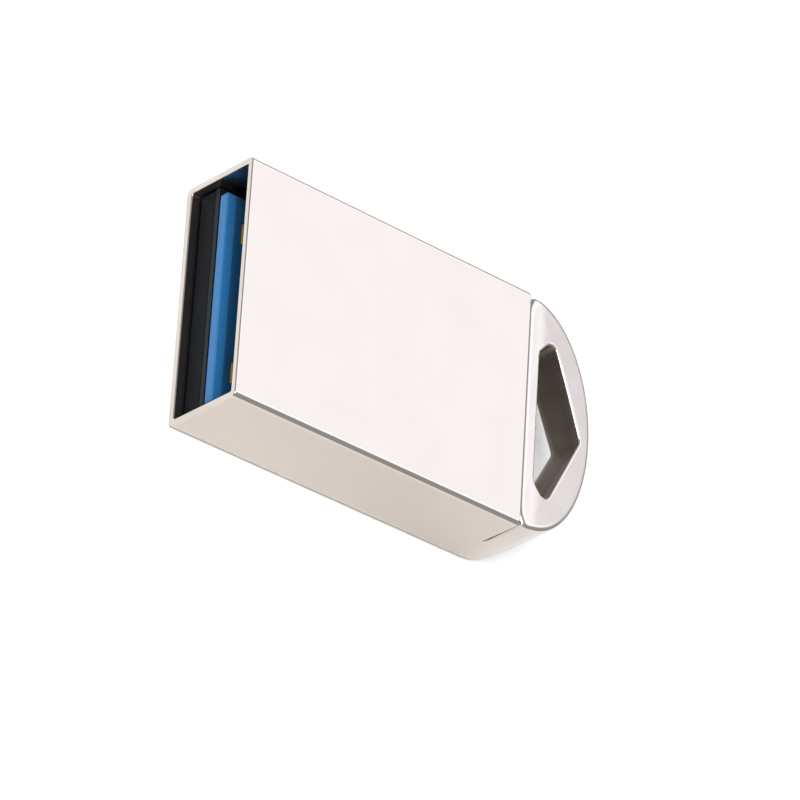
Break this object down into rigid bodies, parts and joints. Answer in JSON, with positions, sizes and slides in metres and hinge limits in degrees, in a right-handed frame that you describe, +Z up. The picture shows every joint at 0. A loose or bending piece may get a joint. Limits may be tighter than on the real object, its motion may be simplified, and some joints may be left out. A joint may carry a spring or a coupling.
{
  "type": "usb flash drive",
  "caption": "Ultra-compact metal USB flash drive: a bare plug sleeve with a blue contact plate in its mouth and a D-shaped key loop at the rear.",
  "frame": {"origin": "centre of the footprint, on the surface that the drive's lower large face lies on", "axes": "+X from the mouth of the plug to the tip of the key loop, +Y across the width, +Z up through the thickness, from the module side to the open side of the mouth"},
  "size_m": [0.0212, 0.012, 0.0045],
  "materials": {
    "nickel_sleeve": "nickel plated stainless sheet, satin polish",
    "nickel_cast_loop": "nickel plated zinc casting, satin polish",
    "blue_plastic": "moulded glass-filled nylon, USB 3 blue",
    "black_epoxy": "transfer moulded epoxy",
    "black_laminate": "circuit laminate with black solder mask",
    "black_plastic": "moulded ABS",
    "gold_plate": "gold over nickel on copper alloy",
    "silicon": "sawn silicon",
    "capacitor_ceramic": "fired ceramic",
    "resistor_ceramic": "ceramic with black glaze",
    "crystal_can": "plated steel lid",
    "amber_tape": "double-sided acrylic tape"
  },
  "bodies": {
    "drive": {"plug_sleeve": "nickel_sleeve", "tail_loop": "nickel_cast_loop", "contact_frame": "blue_plastic", "memory_mould": "black_epoxy", "memory_substrate": "black_laminate", "rear_retainer": "black_plastic", "power_contact": "gold_plate", "data_minus_contact": "gold_plate", "data_plus_contact": "gold_plate", "ground_contact": "gold_plate", "controller_die": "silicon", "nand_die_1": "silicon", "nand_die_2": "silicon", "nand_die_3": "silicon", "nand_die_4": "silicon", "crystal": "crystal_can", "decoupling_capacitor_1": "capacitor_ceramic", "decoupling_capacitor_2": "capacitor_ceramic", "decoupling_capacitor_3": "capacitor_ceramic", "decoupling_capacitor_4": "capacitor_ceramic", "resistor_1": "resistor_ceramic", "resistor_2": "resistor_ceramic", "module_tape": "amber_tape"},
    "spring_contact_1": {"super_speed_contact_1": "gold_plate"},
    "spring_contact_2": {"super_speed_contact_2": "gold_plate"},
    "spring_contact_3": {"super_speed_contact_3": "gold_plate"},
    "spring_contact_4": {"super_speed_contact_4": "gold_plate"},
    "spring_contact_5": {"super_speed_contact_5": "gold_plate"}
  },
  "joints": [
    {"name": "contact_1_flex", "type": "hinge", "parent": "drive", "child": "spring_contact_1", "pos_m": [0.00155, -0.004, 0.00179], "axis": [0, -1, 0], "range_deg": [0, 5], "stiffness_Nm_per_rad": 0.02},
    {"name": "contact_2_flex", "type": "hinge", "parent": "drive", "child": "spring_contact_2", "pos_m": [0.00155, -0.002, 0.00179], "axis": [0, -1, 0], "range_deg": [0, 5], "stiffness_Nm_per_rad": 0.02},
    {"name": "contact_3_flex", "type": "hinge", "parent": "drive", "child": "spring_contact_3", "pos_m": [0.00155, 0, 0.00179], "axis": [0, -1, 0], "range_deg": [0, 5], "stiffness_Nm_per_rad": 0.02},
    {"name": "contact_4_flex", "type": "hinge", "parent": "drive", "child": "spring_contact_4", "pos_m": [0.00155, 0.002, 0.00179], "axis": [0, -1, 0], "range_deg": [0, 5], "stiffness_Nm_per_rad": 0.02},
    {"name": "contact_5_flex", "type": "hinge", "parent": "drive", "child": "spring_contact_5", "pos_m": [0.00155, 0.004, 0.00179], "axis": [0, -1, 0], "range_deg": [0, 5], "stiffness_Nm_per_rad": 0.02}
  ]
}
